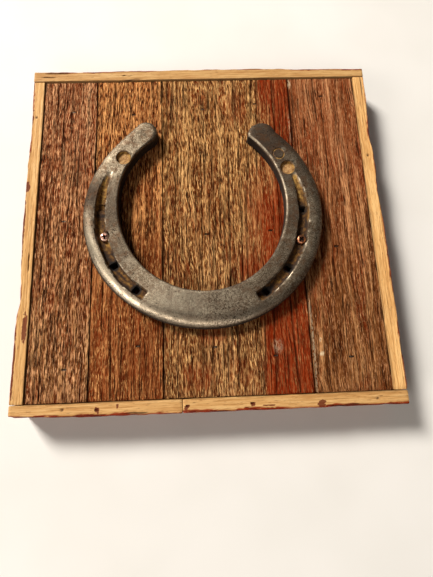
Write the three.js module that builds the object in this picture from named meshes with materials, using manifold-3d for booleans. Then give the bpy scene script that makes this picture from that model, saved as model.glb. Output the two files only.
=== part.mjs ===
// Horseshoe wall plaque: a worn steel horseshoe screwed to four reclaimed boards,
// which are bradded to three battens and edged with thin wooden strips.
// Millimetres. The plaque lies on its back: +Z comes out of its face, +Y is its top, +X its right.
// The origin is the centre of the plane that its back edges rest on.

import * as THREE from 'three';
import { mergeVertices } from 'three/addons/utils/BufferGeometryUtils.js';
import Module from 'manifold-3d';

const wasm = await Module();
wasm.setup();

// ---- Driving dimensions ----------------------------------------------------------------

const GAP = 0.3;                     // daylight left between pieces that touch
const INNER_HALF = 95;               // half the square opening inside the strips
const STRIP_WIDTH = 7;
const STRIP_DEPTH = 20;
const OUTER_HALF = INNER_HALF + STRIP_WIDTH;
const BOTTOM_JOINT_X = -14.6;        // where the two bottom strips butt

const BOARD_FACE_Z = 19.2;           // front of the boards, just below the strips
const BOARD_THICKNESS = 9.6;
const BOARD_BACK_Z = BOARD_FACE_Z - BOARD_THICKNESS;
const BOARD_SEAMS_X = [-INNER_HALF, -63, -24, 54, INNER_HALF];

const BATTEN_FRONT_Z = BOARD_BACK_Z - GAP;
const BATTEN_THICKNESS = 6.4;
const BATTEN_BACK_Z = BATTEN_FRONT_Z - BATTEN_THICKNESS;
const BATTEN_WIDTH = 34;
const BATTENS = { top: 76, middle: -6, bottom: -75 };

const SHOE_THICKNESS = 8;
const SHOE_BACK_Z = BOARD_FACE_Z + GAP;
const SHOE_FACE_Z = SHOE_BACK_Z + SHOE_THICKNESS;
const OUTER_TOE = [1, -60.2];        // the middle of the toe on the outer edge
const INNER_TOE = [-0.2, -40.4];     // and on the inner edge
// Each edge runs from the toe to a heel in arcs: [radius, sweep in degrees].
const OUTER_ARCS = { left: [[71, 45], [61, 80], [104, 60]], right: [[64.4, 180]] };
const INNER_ARCS = { left: [[46.5, 60], [55, 40], [44.5, 60]], right: [[44, 60], [54.4, 120]] };
// How far round from the toe the outer and the inner edge run before the heel is rounded off.
const HEEL_ANGLES = { left: [141, 143.5], right: [140, 139] };
const HEEL_BULGE = 7;
const ROLLED_EDGE = 3.2;             // rounding of the worn outer edge
const BROKEN_EDGE = 0.9;             // bevel on the inner edge

const CREASE_CENTRE = [-1.4, 4];     // centre of the arc that the nail line follows
const CREASE_RADIUS = 56;
const CREASE_WIDTH = 6;
const CREASE_DEPTH = 3.5;
const CREASE_TAPER = 20;             // degrees over which a crease thins out at its heel end
const CREASES = { left: [153, 235.5], right: [24, -60] };
const NAIL_HOLES = [175, 211, 229.5, 0.8, -36, -54.2];
const NAIL_HOLE_SIZE = [2.4, 3.6];
const STUD_HOLES = [[-44.8, 37.8], [47.7, 29.3]];
const STUD_HOLE_RADIUS = 4;
const STUD_HOLE_DEPTH = 1.8;         // down to the dirt packed hard into it
const STAMPED_RING = [43.1, 38];     // a shallow stamped ring beside the right stud hole
const STAMPED_RING_RADIUS = 3.4;

const SCREWS = { left: [-54.8, -8.6], right: [52.1, -13.3] };
const SCREW_HEAD_RADIUS = 2.65;
const SCREW_HEAD_HEIGHT = 2.1;
const SCREW_SHANK_RADIUS = 1.4;
const SCREW_LENGTH = 18;
const SCREW_SEAT_Z = SHOE_FACE_Z - CREASE_DEPTH;

const BRAD_WIRE = [1.2, 1.0];
const BRAD_HEAD = [1.9, 1.2, 0.8];
const BRAD_SET = 0.5;                // how deep a brad's head is set below the wood
const FACE_BRAD_LENGTH = 15;
const SIDE_BRAD_LENGTH = 20;
const FRONT_BRAD_LENGTH = 12;
// Face brads, row by row, as they pierce the four boards into each batten.
const FACE_BRADS = {
  top: [[-77, 74], [-41, 71.5], [0.8, 74.5], [32.8, 77.4], [74.2, 82]],
  middle: [[-79.8, 3.7], [0.7, -6.3], [36.9, -5.2], [73.5, -15.7]],
  bottom: [[-75.6, -78.2], [-37.5, -67.5], [3, -69.4], [35, -75], [75, -77]],
};
const SIDE_BRADS_Y = [75, 4, -68];
const END_BRADS_X = [-79, -44, 16, 76];
const FRONT_BRADS_X = [-58, -12, 21];

const HANGER_LENGTH = 46;
const HANGER_WIDTH = 10;
const HANGER_METAL = 0.8;
const HANGER_RISE = 1.2;             // how far its middle stands off the batten
const HANGER_TEETH = 9;
const HANGER_PAD = 9;
const HANGER_Y = BATTENS.top;
const HANGER_NAIL_X = HANGER_LENGTH / 2 - 4;
const HANGER_NAIL_RADIUS = 0.7;
const HANGER_NAIL_LENGTH = 6.5;

// ---- Materials -------------------------------------------------------------------------

const material = (color, roughness, metalness) => (
  new THREE.MeshStandardMaterial({ color, roughness, metalness })
);
const FINISH = {
  steel: () => material(0x6d6a63, 0.42, 0.9),
  copper: () => material(0xa8674a, 0.35, 0.9),
  brad: () => material(0x3a3431, 0.6, 0.8),
  pine: () => material(0xc79a5f, 0.7, 0),
  batten: () => material(0x9a7a52, 0.8, 0),
  zinc: () => material(0xb0aca0, 0.4, 0.85),
  boards: [0x7c4530, 0x8a4a2c, 0x8a6036, 0x7a5238],
};

// ---- Solids ----------------------------------------------------------------------------

function solidOf(geometry) {
  const bare = geometry.clone();
  bare.deleteAttribute('normal');
  bare.deleteAttribute('uv');
  const merged = mergeVertices(bare, 1e-4);
  return new wasm.Manifold(new wasm.Mesh({
    numProp: 3,
    vertProperties: new Float32Array(merged.attributes.position.array),
    triVerts: new Uint32Array(merged.index.array),
  }));
}

function geometryOf(solid) {
  const mesh = solid.getMesh();
  const geometry = new THREE.BufferGeometry();
  geometry.setAttribute('position', new THREE.BufferAttribute(mesh.vertProperties, 3));
  geometry.setIndex(new THREE.BufferAttribute(mesh.triVerts, 1));
  geometry.computeVertexNormals();
  return geometry;
}

function cut(geometry, tools) {
  const solid = tools.reduce((rest, tool) => rest.subtract(solidOf(tool)), solidOf(geometry));
  return geometryOf(solid);
}

function box(low, high) {
  const size = high.map((value, axis) => value - low[axis]);
  const middle = high.map((value, axis) => (value + low[axis]) / 2);
  return new THREE.BoxGeometry(...size).translate(...middle);
}

function uprightCylinder(radius, lowZ, highZ, x, y, sides = 24) {
  const cylinder = new THREE.CylinderGeometry(radius, radius, highZ - lowZ, sides);
  return cylinder.rotateX(Math.PI / 2).translate(x, y, (lowZ + highZ) / 2);
}

function nodeOf(name, geometry, finish) {
  const mesh = new THREE.Mesh(geometry, finish);
  mesh.name = name;
  return mesh;
}

// ---- Horseshoe -------------------------------------------------------------------------

const radians = THREE.MathUtils.degToRad;

/** Points along one edge of one branch, from the toe round to the heel. */
function branchEdge(toe, arcs, side, endAngle, step = 5) {
  const points = [new THREE.Vector2(...toe)];
  let angle = 0;
  for (const [radius, sweep] of arcs) {
    const from = points.at(-1).clone();
    const stop = Math.min(angle + sweep, endAngle);
    const count = Math.ceil((stop - angle) / step);
    for (let k = 1; k <= count; k += 1) {
      const turned = angle + (stop - angle) * k / count;
      const across = Math.sin(radians(turned)) - Math.sin(radians(angle));
      const along = Math.cos(radians(angle)) - Math.cos(radians(turned));
      points.push(new THREE.Vector2(from.x + side * radius * across, from.y + radius * along));
    }
    angle = stop;
    if (angle >= endAngle) break;
  }
  return points;
}

/** The rounded end of a branch, from one edge across to the other. */
function heelCap(from, to, count = 8) {
  const middle = from.clone().add(to).divideScalar(2);
  const reach = from.clone().sub(middle);
  const outward = new THREE.Vector2(-reach.y, reach.x).setLength(HEEL_BULGE);
  const points = [];
  for (let k = 1; k < count; k += 1) {
    const turn = Math.PI * k / count;
    const point = middle.clone().addScaledVector(reach, Math.cos(turn));
    points.push(point.addScaledVector(outward, Math.sin(turn)));
  }
  return points;
}

/** A point straight on past the last two points of an edge, clear of the heel. */
function carriedOn(points) {
  const heading = points.at(-1).clone().sub(points.at(-2)).setLength(25);
  return points.at(-1).clone().add(heading);
}

/** The shoe's own outline, and the outer edge alone, closed well beyond the heels. */
function shoeOutline() {
  const edge = (toe, arcs, name, which) => (
    branchEdge(toe, arcs[name], name === 'left' ? -1 : 1, HEEL_ANGLES[name][which])
  );
  const outerRight = edge(OUTER_TOE, OUTER_ARCS, 'right', 0);
  const innerRight = edge(INNER_TOE, INNER_ARCS, 'right', 1);
  const outerLeft = edge(OUTER_TOE, OUTER_ARCS, 'left', 0);
  const innerLeft = edge(INNER_TOE, INNER_ARCS, 'left', 1);
  const beyond = [carriedOn(outerRight), carriedOn(outerLeft)];
  return {
    outer: [...outerRight, ...beyond, ...outerLeft.slice(1).reverse()],
    shoe: [
      ...outerRight,
      ...heelCap(outerRight.at(-1), innerRight.at(-1)),
      ...innerRight.reverse(),
      ...innerLeft.slice(1),
      ...heelCap(innerLeft.at(-1), outerLeft.at(-1)),
      ...outerLeft.slice(1).reverse(),
    ],
  };
}

/** A plate with its upper and lower rims bevelled, its face at the shoe's face. */
function bevelledPlate(points, bevel, segments) {
  const plate = new THREE.ExtrudeGeometry(new THREE.Shape(points), {
    depth: SHOE_THICKNESS,
    bevelThickness: bevel,
    bevelSize: bevel,
    bevelOffset: -bevel,
    bevelSegments: segments,
  });
  return plate.translate(0, 0, SHOE_FACE_Z - SHOE_THICKNESS - bevel);
}

/** A swaged groove, thinning out at its heel end and blunt at its toe end. */
function creaseCutter([heelAngle, toeAngle]) {
  const centre = new THREE.Vector2(...CREASE_CENTRE);
  const turn = Math.sign(toeAngle - heelAngle);
  const count = 20;
  const outside = [];
  const inside = [];
  for (let k = 0; k <= count; k += 1) {
    const angle = heelAngle + (toeAngle - heelAngle) * k / count;
    const grown = Math.min(1, turn * (angle - heelAngle) / CREASE_TAPER);
    const halfWidth = CREASE_WIDTH / 2 * (0.35 + 0.65 * Math.sqrt(grown));
    const away = new THREE.Vector2(Math.cos(radians(angle)), Math.sin(radians(angle)));
    outside.push(centre.clone().addScaledVector(away, CREASE_RADIUS + halfWidth));
    inside.push(centre.clone().addScaledVector(away, CREASE_RADIUS - halfWidth));
  }
  const slope = 0.8;
  const cutter = new THREE.ExtrudeGeometry(new THREE.Shape([...outside, ...inside.reverse()]), {
    depth: SHOE_THICKNESS,
    bevelThickness: CREASE_DEPTH - 1,
    bevelSize: slope,
    bevelOffset: -slope,
    bevelSegments: 1,
  });
  return cutter.translate(0, 0, SHOE_FACE_Z - 1);
}

function nailHoleCutter(angle) {
  const [width, height] = NAIL_HOLE_SIZE;
  const cutter = new THREE.BoxGeometry(width, height, 3 * SHOE_THICKNESS);
  const x = CREASE_CENTRE[0] + CREASE_RADIUS * Math.cos(radians(angle));
  const y = CREASE_CENTRE[1] + CREASE_RADIUS * Math.sin(radians(angle));
  return cutter.rotateZ(radians(angle)).translate(x, y, SHOE_FACE_Z);
}

function studHoleCutter([x, y]) {
  const floorZ = SHOE_FACE_Z - STUD_HOLE_DEPTH;
  return uprightCylinder(STUD_HOLE_RADIUS, floorZ, SHOE_FACE_Z + 1, x, y);
}

function stampedRingCutter([x, y]) {
  const depth = 0.4;
  const half = 0.45;
  const profile = [
    new THREE.Vector2(STAMPED_RING_RADIUS - half, -depth),
    new THREE.Vector2(STAMPED_RING_RADIUS + half, -depth),
    new THREE.Vector2(STAMPED_RING_RADIUS + half, depth),
    new THREE.Vector2(STAMPED_RING_RADIUS - half, depth),
    new THREE.Vector2(STAMPED_RING_RADIUS - half, -depth),
  ];
  return new THREE.LatheGeometry(profile, 20).rotateX(Math.PI / 2).translate(x, y, SHOE_FACE_Z);
}

function screwClearances([x, y]) {
  const top = SHOE_FACE_Z + 1;
  return [
    uprightCylinder(SCREW_HEAD_RADIUS + GAP, SCREW_SEAT_Z, top, x, y),
    uprightCylinder(SCREW_SHANK_RADIUS + GAP, SCREW_SEAT_Z - SCREW_LENGTH - 1, top, x, y, 16),
  ];
}

function makeHorseshoe() {
  const { outer, shoe } = shoeOutline();
  const rolled = solidOf(bevelledPlate(outer, ROLLED_EDGE, 3));
  const body = solidOf(bevelledPlate(shoe, BROKEN_EDGE, 1)).intersect(rolled);
  const flatBack = box([-100, -100, SHOE_BACK_Z - 20], [100, 100, SHOE_BACK_Z]);
  return cut(geometryOf(body), [
    flatBack,
    ...Object.values(CREASES).map(creaseCutter),
    ...NAIL_HOLES.map(nailHoleCutter),
    ...STUD_HOLES.map(studHoleCutter),
    stampedRingCutter(STAMPED_RING),
    ...Object.values(SCREWS).flatMap(screwClearances),
  ]);
}

// ---- Fasteners -------------------------------------------------------------------------

/** A pan-head wood screw with a cross recess; its seat under the head is at z = 0. */
function screwGeometry() {
  const head = SCREW_HEAD_RADIUS;
  const shank = SCREW_SHANK_RADIUS;
  const profile = [
    [0, -SCREW_LENGTH],
    [shank, -SCREW_LENGTH + 3],
    [shank, 0],
    [head, 0],
    [head, SCREW_HEAD_HEIGHT * 0.45],
    [head * 0.82, SCREW_HEAD_HEIGHT * 0.82],
    [head * 0.45, SCREW_HEAD_HEIGHT],
    [0, SCREW_HEAD_HEIGHT],
  ].map(([radius, z]) => new THREE.Vector2(radius, z));
  const turned = new THREE.LatheGeometry(profile, 20).rotateX(Math.PI / 2);
  const recess = [[0.8, 3], [3, 0.8]].map(([width, height]) => {
    const bar = new THREE.BoxGeometry(width, height, 2);
    return bar.rotateZ(Math.PI / 4).translate(0, 0, SCREW_HEAD_HEIGHT);
  });
  return cut(turned, recess);
}

/** A T-headed wire brad; the top of its head is at z = 0 and it points down. */
function bradGeometry(length) {
  const wire = BRAD_WIRE[0] / 2;
  const head = BRAD_HEAD[0] / 2;
  const outline = new THREE.Shape([
    new THREE.Vector2(-head, 0),
    new THREE.Vector2(-head, -BRAD_HEAD[2]),
    new THREE.Vector2(-wire, -BRAD_HEAD[2]),
    new THREE.Vector2(-wire, 1.5 - length),
    new THREE.Vector2(0, -length),
    new THREE.Vector2(wire, 1.5 - length),
    new THREE.Vector2(wire, -BRAD_HEAD[2]),
    new THREE.Vector2(head, -BRAD_HEAD[2]),
    new THREE.Vector2(head, 0),
  ]);
  const brad = new THREE.ExtrudeGeometry(outline, { depth: BRAD_WIRE[1], bevelEnabled: false });
  return brad.rotateX(Math.PI / 2).translate(0, BRAD_WIRE[1] / 2, 0);
}

function bradClearance(length) {
  const depth = length + BRAD_SET + 1 + GAP;
  const hole = new THREE.BoxGeometry(BRAD_HEAD[0] + 2 * GAP, BRAD_WIRE[1] + 2 * GAP, depth);
  return hole.translate(0, 0, 1 + BRAD_SET - depth / 2);
}

const UP = new THREE.Vector3(0, 0, 1);

/** Each brad's name, the top of its head, the way its head faces, and its length. */
function listBrads() {
  const brads = [];
  const edgeZ = BOARD_FACE_Z - BOARD_THICKNESS / 2;
  const face = OUTER_HALF - BRAD_SET;
  const add = (name, at, outward, length) => (
    brads.push({ name, at: new THREE.Vector3(...at), outward: new THREE.Vector3(...outward), length })
  );
  for (const [row, places] of Object.entries(FACE_BRADS)) {
    places.forEach(([x, y], index) => {
      add(`board_brad_${row}_${index + 1}`, [x, y, BOARD_FACE_Z - BRAD_SET], [0, 0, 1], FACE_BRAD_LENGTH);
    });
  }
  SIDE_BRADS_Y.forEach((y, index) => {
    add(`frame_brad_left_${index + 1}`, [-face, y, edgeZ], [-1, 0, 0], SIDE_BRAD_LENGTH);
    add(`frame_brad_right_${index + 1}`, [face, y, edgeZ], [1, 0, 0], SIDE_BRAD_LENGTH);
  });
  END_BRADS_X.forEach((x, index) => {
    add(`frame_brad_top_${index + 1}`, [x, face, edgeZ], [0, 1, 0], SIDE_BRAD_LENGTH);
    add(`frame_brad_bottom_${index + 1}`, [x, -face, edgeZ], [0, -1, 0], SIDE_BRAD_LENGTH);
  });
  FRONT_BRADS_X.forEach((x, index) => {
    const y = -(INNER_HALF + OUTER_HALF) / 2;
    add(`frame_front_brad_${index + 1}`, [x, y, STRIP_DEPTH - BRAD_SET], [0, 0, 1], FRONT_BRAD_LENGTH);
  });
  return brads;
}

const brads = listBrads();

/** Clearance holes for every brad and screw, each kept with its bounding box. */
const clearances = [
  ...brads.map(({ at, outward, length }) => {
    const turn = new THREE.Quaternion().setFromUnitVectors(UP, outward);
    return bradClearance(length).applyQuaternion(turn).translate(at.x, at.y, at.z);
  }),
  ...Object.values(SCREWS).map((place) => screwClearances(place)[1]),
];
clearances.forEach((hole) => hole.computeBoundingBox());

/** A sawn piece of wood with the holes of the fasteners that reach it. */
function sawnPiece(name, low, high, finish) {
  const blank = box(low, high);
  blank.computeBoundingBox();
  const holes = clearances.filter((hole) => hole.boundingBox.intersectsBox(blank.boundingBox));
  return nodeOf(name, holes.length ? cut(blank, holes) : blank, finish);
}

// ---- Wood ------------------------------------------------------------------------------

function makeBoards() {
  const last = BOARD_SEAMS_X.length - 2;
  return BOARD_SEAMS_X.slice(0, -1).map((left, index) => {
    const right = BOARD_SEAMS_X[index + 1];
    const low = [left + (index === 0 ? GAP : GAP / 2), GAP - INNER_HALF, BOARD_BACK_Z];
    const high = [right - (index === last ? GAP : GAP / 2), INNER_HALF - GAP, BOARD_FACE_Z];
    return sawnPiece(`board_${index + 1}`, low, high, material(FINISH.boards[index], 0.85, 0));
  });
}

function makeBattens() {
  const half = INNER_HALF - GAP;
  return Object.entries(BATTENS).map(([place, y]) => {
    const low = [-half, y - BATTEN_WIDTH / 2, BATTEN_BACK_Z];
    const high = [half, y + BATTEN_WIDTH / 2, BATTEN_FRONT_Z];
    const batten = sawnPiece(`batten_${place}`, low, high, FINISH.batten());
    if (place === 'top') {
      batten.geometry = cut(batten.geometry, [-HANGER_NAIL_X, HANGER_NAIL_X].map(nailHole));
    }
    return batten;
  });
}

function nailHole(x) {
  const deep = BATTEN_BACK_Z + HANGER_NAIL_LENGTH;
  return uprightCylinder(HANGER_NAIL_RADIUS + GAP, BATTEN_BACK_Z - 5, deep, x, HANGER_Y, 12);
}

function makeStrips() {
  const side = INNER_HALF - GAP;
  const joint = BOTTOM_JOINT_X;
  const strip = (name, x0, y0, x1, y1) => (
    sawnPiece(`frame_strip_${name}`, [x0, y0, 0], [x1, y1, STRIP_DEPTH], FINISH.pine())
  );
  return [
    strip('top', -OUTER_HALF, INNER_HALF, OUTER_HALF, OUTER_HALF),
    strip('left', -OUTER_HALF, -side, -INNER_HALF, side),
    strip('right', INNER_HALF, -side, OUTER_HALF, side),
    strip('bottom_left', -OUTER_HALF, -OUTER_HALF, joint - GAP / 2, -INNER_HALF),
    strip('bottom_right', joint + GAP / 2, -OUTER_HALF, OUTER_HALF, -INNER_HALF),
  ];
}

// ---- Hanger ----------------------------------------------------------------------------

/** The strap seen from its long edge: flat pads at both ends and a raised middle. */
function hangerStrap() {
  const half = HANGER_LENGTH / 2;
  const step = half - HANGER_PAD;
  const side = [
    [-half, 0], [-step, 0], [-step + 2, HANGER_RISE], [step - 2, HANGER_RISE], [step, 0], [half, 0],
  ];
  const upper = side.map(([x, rise]) => new THREE.Vector2(x, -rise));
  const lower = side.map(([x, rise]) => new THREE.Vector2(x, -rise - HANGER_METAL)).reverse();
  const strap = new THREE.ExtrudeGeometry(new THREE.Shape([...lower, ...upper]), {
    depth: HANGER_WIDTH,
    bevelEnabled: false,
  });
  return strap.rotateX(Math.PI / 2).translate(0, HANGER_WIDTH / 2, 0);
}

/** Wedges that cut the saw teeth into the strap's lower edge. */
function toothGaps() {
  const pitch = 2.6;
  return Array.from({ length: HANGER_TEETH }, (_, index) => {
    const x = (index - (HANGER_TEETH - 1) / 2) * pitch;
    const wedge = new THREE.CylinderGeometry(1.3, 1.3, 10, 3).rotateX(Math.PI / 2);
    return wedge.translate(x, -HANGER_WIDTH / 2, 0);
  });
}

function makeHanger() {
  const nailHoles = [-HANGER_NAIL_X, HANGER_NAIL_X].map((x) => (
    uprightCylinder(HANGER_NAIL_RADIUS + GAP, -5, 5, x, 0, 12)
  ));
  const strap = cut(hangerStrap(), [...toothGaps(), ...nailHoles]);
  const hanger = nodeOf('sawtooth_hanger', strap, FINISH.zinc());
  hanger.position.set(0, HANGER_Y, BATTEN_BACK_Z - GAP);
  return hanger;
}

/** A round-headed nail, driven from the back through a pad of the hanger. */
function makeHangerNail(name, x) {
  const profile = [
    [0, -0.8],
    [1.2, -0.8],
    [1.6, 0],
    [HANGER_NAIL_RADIUS, 0],
    [HANGER_NAIL_RADIUS, HANGER_NAIL_LENGTH - 1.5],
    [0, HANGER_NAIL_LENGTH],
  ].map(([radius, z]) => new THREE.Vector2(radius, z));
  const nail = nodeOf(name, new THREE.LatheGeometry(profile, 12).rotateX(Math.PI / 2), FINISH.zinc());
  nail.position.set(x, HANGER_Y, BATTEN_BACK_Z - HANGER_METAL - 2 * GAP);
  return nail;
}

// ---- Assembly --------------------------------------------------------------------------

function makeScrew(name, [x, y]) {
  const screw = nodeOf(name, screwGeometry(), FINISH.copper());
  screw.position.set(x, y, SCREW_SEAT_Z + GAP);
  return screw;
}

function makeBrad({ name, at, outward, length }) {
  const brad = nodeOf(name, bradGeometry(length), FINISH.brad());
  brad.position.copy(at);
  brad.quaternion.setFromUnitVectors(UP, outward);
  return brad;
}

const group = new THREE.Group();
group.add(nodeOf('horseshoe', makeHorseshoe(), FINISH.steel()));
group.add(...Object.entries(SCREWS).map(([side, place]) => makeScrew(`horseshoe_screw_${side}`, place)));
group.add(...makeBoards());
group.add(...makeStrips());
group.add(...makeBattens());
group.add(...brads.map(makeBrad));
group.add(makeHanger());
group.add(makeHangerNail('hanger_nail_left', -HANGER_NAIL_X));
group.add(makeHangerNail('hanger_nail_right', HANGER_NAIL_X));

export default group;
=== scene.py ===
"""Looks for the horseshoe wall plaque: worn steel, weathered boards and pine strips.

Lengths are millimetres up to the last section, and meshes are made in metres.
"""
import math

import bmesh
import bpy
import numpy as np
from mathutils import Matrix, Vector


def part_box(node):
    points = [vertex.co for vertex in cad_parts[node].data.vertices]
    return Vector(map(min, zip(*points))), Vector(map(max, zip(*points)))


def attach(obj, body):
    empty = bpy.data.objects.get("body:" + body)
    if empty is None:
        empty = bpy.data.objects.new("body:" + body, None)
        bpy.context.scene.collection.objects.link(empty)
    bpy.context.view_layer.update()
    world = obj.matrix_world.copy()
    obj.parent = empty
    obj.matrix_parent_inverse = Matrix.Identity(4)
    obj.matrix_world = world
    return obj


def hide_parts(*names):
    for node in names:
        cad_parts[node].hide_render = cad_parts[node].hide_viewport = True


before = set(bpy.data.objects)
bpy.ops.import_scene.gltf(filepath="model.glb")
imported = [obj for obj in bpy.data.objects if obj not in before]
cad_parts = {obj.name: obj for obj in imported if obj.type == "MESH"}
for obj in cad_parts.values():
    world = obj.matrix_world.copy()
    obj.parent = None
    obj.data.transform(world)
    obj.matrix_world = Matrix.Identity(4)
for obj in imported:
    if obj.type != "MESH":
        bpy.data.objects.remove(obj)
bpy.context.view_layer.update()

MM = 0.001
SCENE = bpy.context.scene

# ---- Shoe ----


def box_of(node):
    """The low and high corners of a CAD node's box, in millimetres."""
    return [np.array(corner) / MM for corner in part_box(node)]


SHOE_LOW, SHOE_HIGH = box_of("horseshoe")
SHOE_BACK_Z = SHOE_LOW[2]
SHOE_FACE_Z = SHOE_HIGH[2]
OUTER_TOE = (1.0, -60.2)
INNER_TOE = (-0.2, -40.4)
# Each edge runs from the toe to a heel in arcs: (radius, sweep in degrees). -1 is the left branch.
OUTER_ARCS = {-1: [(71, 45), (61, 80), (104, 60)], 1: [(64.4, 180)]}
INNER_ARCS = {-1: [(46.5, 60), (55, 40), (44.5, 60)], 1: [(44, 60), (54.4, 120)]}
HEEL_ANGLES = {-1: (141, 143.5), 1: (140, 139)}
HEEL_BULGE = 7.0
ROLLED_EDGE = 3.3
BROKEN_EDGE = 0.8
HEEL_EDGE = 1.7
EDGE_WIDENING = 1.55         # a worn edge reaches this much further in than down
FACET_SHARE = 0.5            # how far the worn toe edge is from round to flat
CENTRE = np.array([-1.4, 4.0])
CREASE_RADIUS = 56.0
CREASE_HALF = 2.7
CREASE_WALL = 3.4            # how far from the crease's middle its mesh lines reach
CREASE_DEPTH = 3.5
CREASE_TAPER = 22.0
CREASES = {-1: (34.5, 117.0), 1: (30.0, 114.0)}   # from the toe end to the heel end
NAIL_HOLES = [175, 211, 229.5, 0.8, -36, -54.2]   # degrees anticlockwise from the right
NAIL_HOLES_OPEN = [0, 1, 1, 0.8, 0.9, 1]          # 0 is filled with dirt, 1 is clear
FILLED_Z = SHOE_FACE_Z - 4.0
# A nail hole from its bottom to its mouth: height, half-width across, half-length along.
NAIL_HOLE_SHAPE = [(15.0, 1.1, 1.3), (SHOE_FACE_Z - 5.0, 1.6, 1.5), (SHOE_FACE_Z - 3.6, 2.25, 1.8),
                   (SHOE_FACE_Z - 2.4, 2.6, 2.0), (SHOE_FACE_Z + 1, 2.8, 2.1)]
NAIL_HOLE_SIDES = 20
STUD_HOLES = [(-44.8, 37.8), (47.7, 29.3)]
STUD_RADIUS = 4.0
STUD_DEPTH = 1.8
STAMPED_RING = (43.1, 38.0)
STAMPED_RADIUS = 3.1
SCREWS = {"left": (-54.8, -8.6), "right": (52.1, -13.3)}
TIP_SPREAD = 7.0             # degrees from a heel tip over which the rings lie closer
SHOE_RINGS = 470

# ---- Numbers and noise ----


def smooth(low, high, value):
    """0 below low, 1 above high, and an even curve between."""
    t = np.clip((value - low) / (high - low), 0, 1)
    return t * t * (3 - 2 * t)


NOISE = {}


def field(u, v, wide, long, seed):
    """Smooth noise from -1 to 1 whose features are wide across u and long along v."""
    if seed not in NOISE:
        NOISE[seed] = np.random.default_rng(seed).uniform(-1, 1, (256, 256))
    table = NOISE[seed]
    u = np.asarray(u, float) / wide + 1000
    v = np.asarray(v, float) / long + 1000
    i, j = np.floor(u).astype(int), np.floor(v).astype(int)
    a, b = u - i, v - j
    a, b = a * a * (3 - 2 * a), b * b * (3 - 2 * b)
    i, j, i2, j2 = i % 256, j % 256, (i + 1) % 256, (j + 1) % 256
    low = table[i, j] * (1 - a) + table[i2, j] * a
    high = table[i, j2] * (1 - a) + table[i2, j2] * a
    return low * (1 - b) + high * b


def spots(x, y, rows, rim, core, ragged=0.0):
    """The strongest of some soft spots; rows of x, y, half-width, half-length, strength."""
    total = np.zeros(len(x))
    for at_x, at_y, wide, long, strength in rows:
        away = np.hypot((x - at_x) / wide, (y - at_y) / long) + ragged
        total = np.maximum(total, strength * smooth(rim, core, away))
    return total


def direction(turn):
    """The unit vector at an angle in radians from the x axis."""
    return np.array([math.cos(turn), math.sin(turn)])


# ---- Meshes ----


def make_object(name, points, faces, sharp=40.0):
    """A closed smooth-shaded mesh from points in millimetres."""
    mesh = bpy.data.meshes.new(name)
    mesh.from_pydata((np.asarray(points) * MM).tolist(), [], faces)
    bm = bmesh.new()
    bm.from_mesh(mesh)
    bmesh.ops.recalc_face_normals(bm, faces=bm.faces)
    bm.to_mesh(mesh)
    bm.free()
    mesh.shade_smooth()
    mesh.set_sharp_from_angle(angle=math.radians(sharp))
    obj = bpy.data.objects.new(name, mesh)
    SCENE.collection.objects.link(obj)
    return obj


def sweep(name, rings, sharp=40.0):
    """A closed solid through rings of points, an array of rings by points by three."""
    count, size, _ = rings.shape
    index = np.arange(count * size).reshape(count, size)
    near, far = index[:-1], index[1:]
    quads = np.stack([near, far, np.roll(far, -1, 1), np.roll(near, -1, 1)], -1)
    faces = quads.reshape(-1, 4).tolist()
    faces += [index[0].tolist(), index[-1][::-1].tolist()]
    return make_object(name, rings.reshape(-1, 3), faces, sharp)


def lathe(name, profile, x, y, sides):
    """A solid turned about an upright axis at x, y; profile runs from bottom to top."""
    turn = np.linspace(0, 2 * math.pi, sides, endpoint=False)
    profile = np.array(profile)
    radius, height = profile[:, :1], profile[:, 1:]
    rings = np.stack([
        x + radius * np.cos(turn),
        y + radius * np.sin(turn),
        height + 0 * turn,
    ], -1)
    return sweep(name, rings, 35.0)


def block(name, low, high):
    """A box cutter between two corners."""
    corners = [(x, y) for x, y in ((0, 0), (1, 0), (1, 1), (0, 1))]
    low, high = np.array(low, float), np.array(high, float)
    rings = [[low + (high - low) * (x, y, z) for x, y in corners] for z in (0, 1)]
    return sweep(name, np.array(rings))


def carve(target, cutters, sharp):
    """Cuts the cutters out of target and removes them."""
    for cutter in cutters:
        modifier = target.modifiers.new("carve", "BOOLEAN")
        modifier.operation = "DIFFERENCE"
        modifier.solver = "EXACT"
        modifier.object = cutter
    graph = bpy.context.evaluated_depsgraph_get()
    result = bpy.data.meshes.new_from_object(target.evaluated_get(graph))
    target.modifiers.clear()
    target.data = result
    result.shade_smooth()
    result.set_sharp_from_angle(angle=math.radians(sharp))
    for cutter in cutters:
        bpy.data.objects.remove(cutter)


def points_of(obj):
    """An object's vertices in millimetres."""
    flat = np.zeros(len(obj.data.vertices) * 3, np.float32)
    obj.data.vertices.foreach_get("co", flat)
    return flat.reshape(-1, 3).astype(float) / MM


def set_masks(obj, domain="POINT", **masks):
    """Stores numbers from 0 to 1 per vertex, or per face, for the materials to read."""
    for name, values in masks.items():
        attribute = obj.data.attributes.new(name, "FLOAT", domain)
        attribute.data.foreach_set("value", np.clip(values, 0, 1).astype(np.float32))


def present(obj, slot, material, *nodes):
    """Makes obj stand for CAD nodes, with one material slot holding material; the slot argument is not
    used.
    """
    obj.data.materials.clear()
    obj.data.materials.append(material)
    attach(obj, "root")
    if nodes:
        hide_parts(*nodes)
    return obj


# ---- Material graphs ----


def linear(rgb):
    """A linear colour from 0..255 sRGB numbers."""
    parts = [c / 255 for c in rgb]
    return [c / 12.92 if c <= 0.04045 else ((c + 0.055) / 1.055) ** 2.4 for c in parts] + [1.0]


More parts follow.
